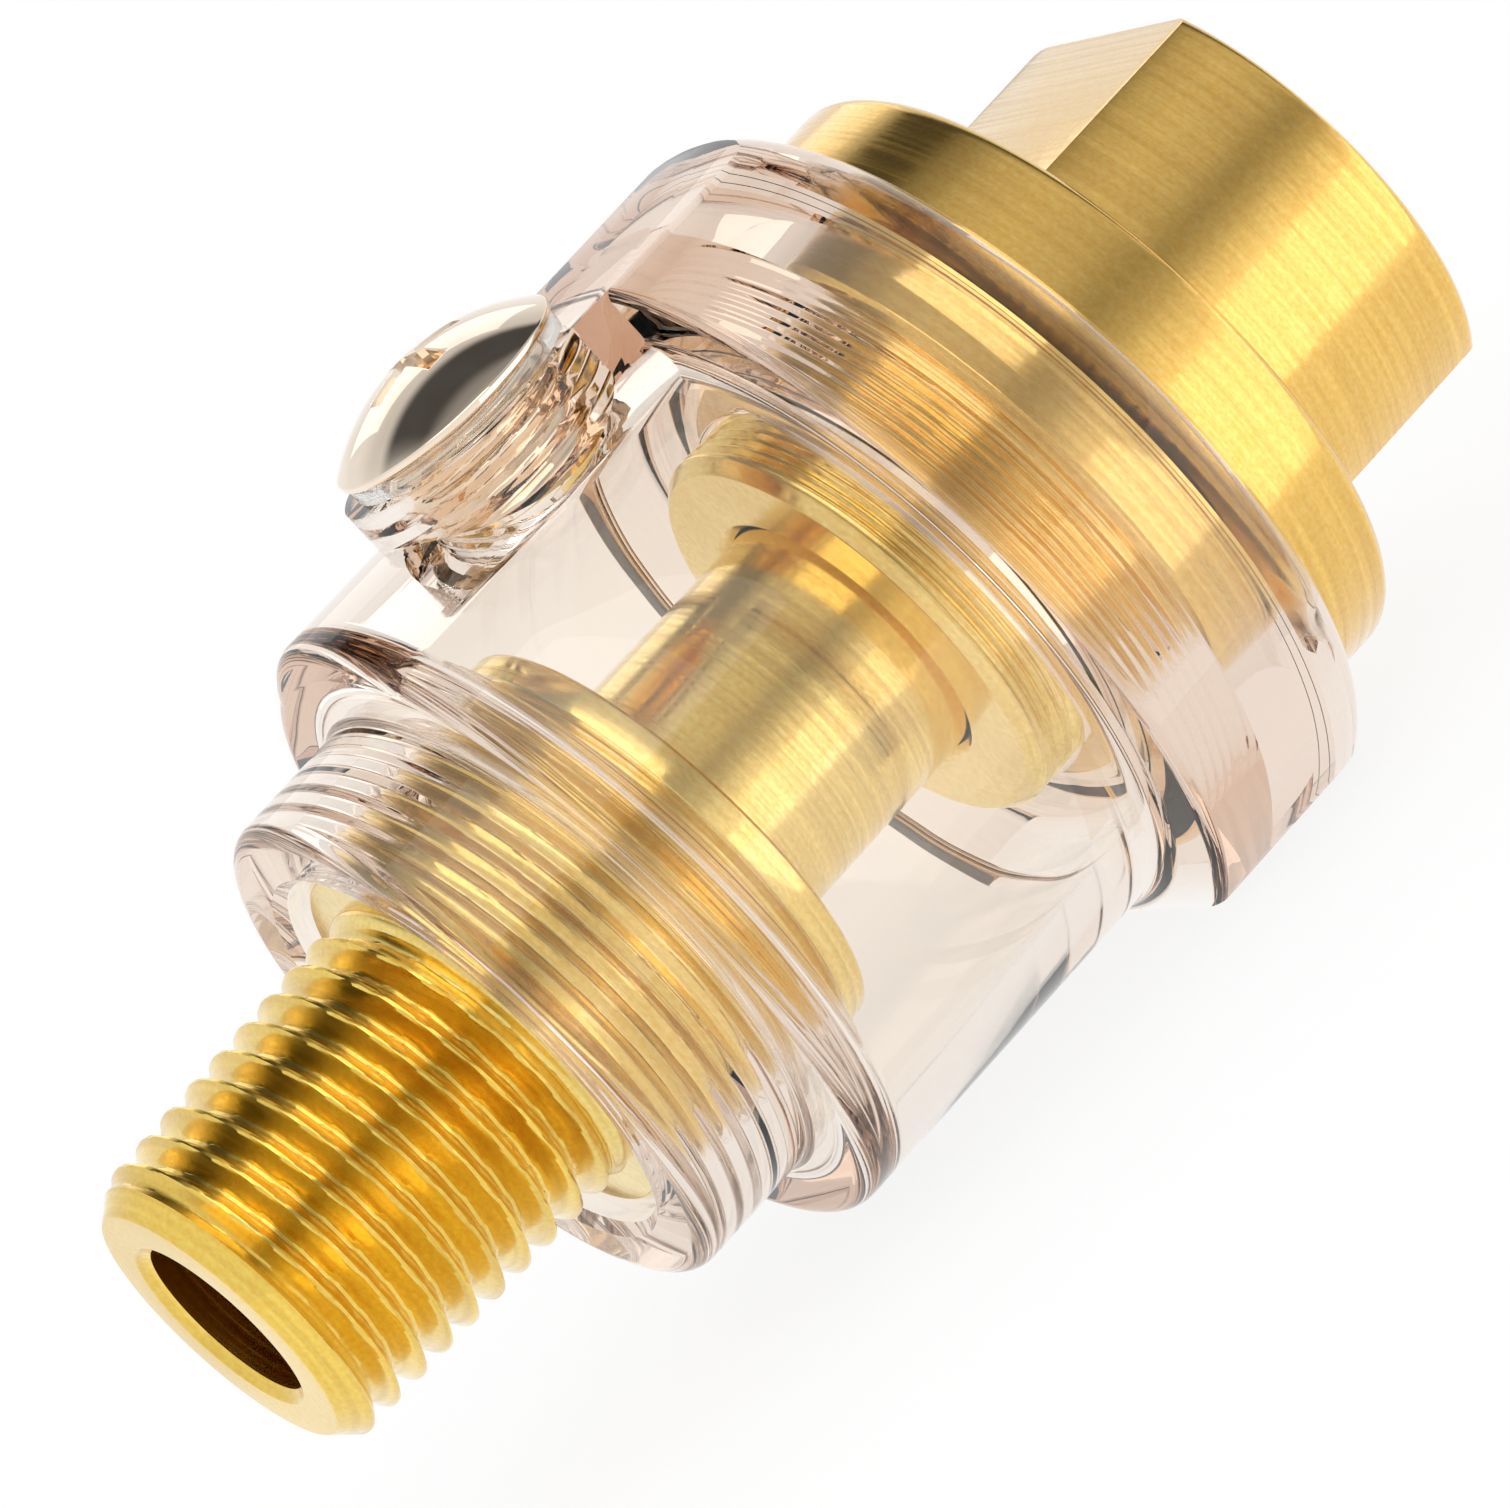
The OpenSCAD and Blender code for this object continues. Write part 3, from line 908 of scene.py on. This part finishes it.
# %% [markdown]
# ### Rubber ring and wick
# The ring on the air tube is black rubber with a matt bloom, and the wick has the grains of a
# sintered plug, drawn by a cell texture. They keep their CAD shapes too.

# %% Rubber and wick
RUBBER_TONES = ((0.012, 0.012, 0.012, 1), (0.035, 0.033, 0.031, 1))
BEAD_TONES = ((0.62, 0.43, 0.2, 1), (0.16, 0.1, 0.045, 1))

rubber_finish = new_finish("seal_rubber")
rubber, nodes, links, shader = rubber_finish
bloom = grain(nodes, links, (900, 900, 900), 5.0)
dress(rubber_finish, bloom, RUBBER_TONES, (0.45, 0.7), (0.2, 0.00005))

wick_finish = new_finish("sintered_bronze")
wick, nodes, links, shader = wick_finish
shader.inputs["Metallic"].default_value = 0.8
coords = nodes.new("ShaderNodeTexCoord")
beads = nodes.new("ShaderNodeTexVoronoi")
beads.inputs["Scale"].default_value = 4200.0
links.new(coords.outputs["Object"], beads.inputs["Vector"])
dress(wick_finish, beads.outputs["Distance"], BEAD_TONES, (0.4, 0.7), (0.6, 0.0001))

for node, material in {
    "inlet_o_ring": pressed_seal,
    "tube_o_ring": rubber,
    "stem_gasket": pressed_seal,
    "filler_washer": washer_seal,
    "oil_wick": wick,
}.items():
    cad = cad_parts[node]
    cad.data.materials.clear()
    cad.data.materials.append(material)
print("silicone, rubber and bronze on the CAD nodes")

# %% [markdown]
# ## Studio
# The photograph is a bright product shot on white. Brass and clear plastic show mostly what stands
# around them, so the world is drawn as a studio of long strips that run along the object: a bright
# one low in front, a dim one where the camera stands, a dark flag just behind the zenith and a
# white wall at the back. A plain pale wall closes the studio past the outlet's end.

# %% World
STRIPS = (
    (0, 1.1), (8, 0.9), (17, 0.52), (27, 0.34), (45, 0.6), (64, 0.68), (80, 0.58),
    (96, 0.29), (107, 0.07), (125, 0.07), (134, 0.66), (155, 0.85), (180, 0.95),
)
SIDE_WALL = 0.9
SIDE_WALL_STARTS = -0.15
SIDE_WALL_FULL = -0.6

world = bpy.data.worlds.new("strip_studio")
scene.world = world
world.use_nodes = True
nodes = world.node_tree.nodes
links = world.node_tree.links

towards = nodes.new("ShaderNodeSeparateXYZ")
links.new(nodes.new("ShaderNodeTexCoord").outputs["Generated"], towards.inputs[0])
forward = number(nodes, links, "MULTIPLY", towards.outputs["Y"], -1.0)
elevation = number(nodes, links, "ARCTAN2", towards.outputs["Z"], forward)
strips = nodes.new("ShaderNodeValToRGB")
strips.color_ramp.interpolation = "EASE"
fill_ramp(strips, [(degrees / 180, (level, level, level, 1)) for degrees, level in STRIPS])
links.new(number(nodes, links, "DIVIDE", elevation, math.pi), strips.inputs["Fac"])

side_wall = nodes.new("ShaderNodeMapRange")
side_wall.interpolation_type = "SMOOTHSTEP"
side_wall.inputs["From Min"].default_value = SIDE_WALL_STARTS
side_wall.inputs["From Max"].default_value = SIDE_WALL_FULL
links.new(towards.outputs["X"], side_wall.inputs["Value"])
walled = nodes.new("ShaderNodeMix")
links.new(side_wall.outputs["Result"], walled.inputs["Factor"])
links.new(strips.outputs["Color"], walled.inputs["A"])
walled.inputs["B"].default_value = SIDE_WALL
print("studio strips:", len(STRIPS))

# %% [markdown]
# ### What each ray sees
# Mirrored rays see the strips, rays through clear plastic see them softened, and the camera and
# matt surfaces see plain white. Brass behind a plastic wall is reached and left through that wall,
# so a mirrored ray that has crossed more than three surfaces sees the strips more strongly. Light
# is turned back many times inside a clear solid, so it gets more bounces than usual; each path
# that is cut off early would end in black.

# %% Rays
THROUGH_PLASTIC = 0.2
MIRRORED_INSIDE = 0.66
WALL_CROSSINGS = 3
BOUNCES = 16
GLOSSY_BOUNCES = 10

rays = nodes.new("ShaderNodeLightPath")
crossings = rays.outputs["Transmission Depth"]
behind_wall = number(nodes, links, "GREATER_THAN", crossings, WALL_CROSSINGS)
mirror_hit = number(nodes, links, "MINIMUM", rays.outputs["Glossy Depth"], behind_wall)
mirrored = number(nodes, links, "MULTIPLY", mirror_hit, MIRRORED_INSIDE)
softened = number(nodes, links, "ADD", mirrored, THROUGH_PLASTIC)
inside = number(nodes, links, "MULTIPLY", rays.outputs["Is Transmission Ray"], softened)
outside = number(
    nodes, links, "MULTIPLY", rays.outputs["Is Glossy Ray"], rays.outputs["Is Reflection Ray"]
)
choice = nodes.new("ShaderNodeMix")
choice.inputs["A"].default_value = 1.0
links.new(number(nodes, links, "MAXIMUM", outside, inside), choice.inputs["Factor"])
links.new(walled.outputs["Result"], choice.inputs["B"])
sky = nodes["Background"]
sky.inputs["Color"].default_value = (1, 1, 1, 1)
links.new(choice.outputs["Result"], sky.inputs["Strength"])
scene.cycles.max_bounces = BOUNCES
scene.cycles.transmission_bounces = BOUNCES
scene.cycles.glossy_bounces = GLOSSY_BOUNCES
print("bounces:", BOUNCES, "of which glossy:", GLOSSY_BOUNCES)

# %% [markdown]
# ## Floor
# The floor is white paper. A share of plain white for camera, mirror and glass rays keeps the
# background clean, and the rest is matt, so that the object's own soft shadow still falls on it.

# %% Floor
FLOOR_HALF = 4.0
FLOOR_WHITE = 0.88
PAPER_TONES = ((0.94, 0.94, 0.94, 1), (0.97, 0.97, 0.97, 1))
floor_z = REST_Z * MM
floor_corners = ((-1, -1), (1, -1), (1, 1), (-1, 1))
floor_verts = [(x * FLOOR_HALF, y * FLOOR_HALF, floor_z) for x, y in floor_corners]
floor = solid("paper_floor", floor_verts, [(0, 1, 2, 3)])

paper, nodes, links, shader = new_finish("white_paper")
fibres = grain(nodes, links, (700, 700, 700), 1.0)
links.new(tint(nodes, links, fibres, *PAPER_TONES), shader.inputs["Base Color"])
shader.inputs["Roughness"].default_value = 0.9
shader.inputs["Specular IOR Level"].default_value = 0.1
glow = nodes.new("ShaderNodeEmission")
glow.inputs["Strength"].default_value = 1.0
rays = nodes.new("ShaderNodeLightPath")
mirror_ray, glass_ray = rays.outputs["Is Glossy Ray"], rays.outputs["Is Transmission Ray"]
seen = number(nodes, links, "MAXIMUM", mirror_ray, glass_ray)
shown = number(nodes, links, "MAXIMUM", seen, rays.outputs["Is Camera Ray"])
mix = nodes.new("ShaderNodeMixShader")
links.new(number(nodes, links, "MULTIPLY", shown, FLOOR_WHITE), mix.inputs[0])
links.new(shader.outputs[0], mix.inputs[1])
links.new(glow.outputs[0], mix.inputs[2])
links.new(mix.outputs[0], nodes["Material Output"].inputs["Surface"])
floor.data.materials.append(paper)
print("floor at, mm:", round(REST_Z, 2))

# %% [markdown]
# ## Lamps
# Three soft area lamps. A lit card lies in front of the object and gives the brass its pale
# highlights, a small softbox near the outlet lights its thread from above, and a large one at the
# back draws the pale rims on the left edges.

# %% Lamps
def softbox(name, place, aim, width, depth, radiance):
    """A soft area lamp of even radiance."""
    data = bpy.data.lights.new(name, "AREA")
    data.shape = "RECTANGLE"
    data.size = width
    data.size_y = depth
    data.energy = math.pi * width * depth * radiance
    lamp = bpy.data.objects.new(name, data)
    lamp.location = place
    lamp.rotation_mode = "QUATERNION"
    lamp.rotation_quaternion = (Vector(aim) - lamp.location).to_track_quat("-Z", "Y")
    lamp.visible_camera = False
    scene.collection.objects.link(lamp)
    print(name, "of", round(data.energy, 3), "W")


softbox(
    "front_card", place=(0.165, -0.16, floor_z + 0.001), aim=(0.165, -0.16, 1.0),
    width=0.27, depth=0.278, radiance=0.65,
)
softbox(
    "near_softbox", place=(0.008, -0.057, 0.089), aim=(0.004, -0.004, 0.004),
    width=0.088, depth=0.095, radiance=1.0,
)
softbox(
    "back_softbox", place=(0.25, 0.6, 0.36), aim=CAMERA_AIM,
    width=0.5, depth=0.3, radiance=0.5,
)
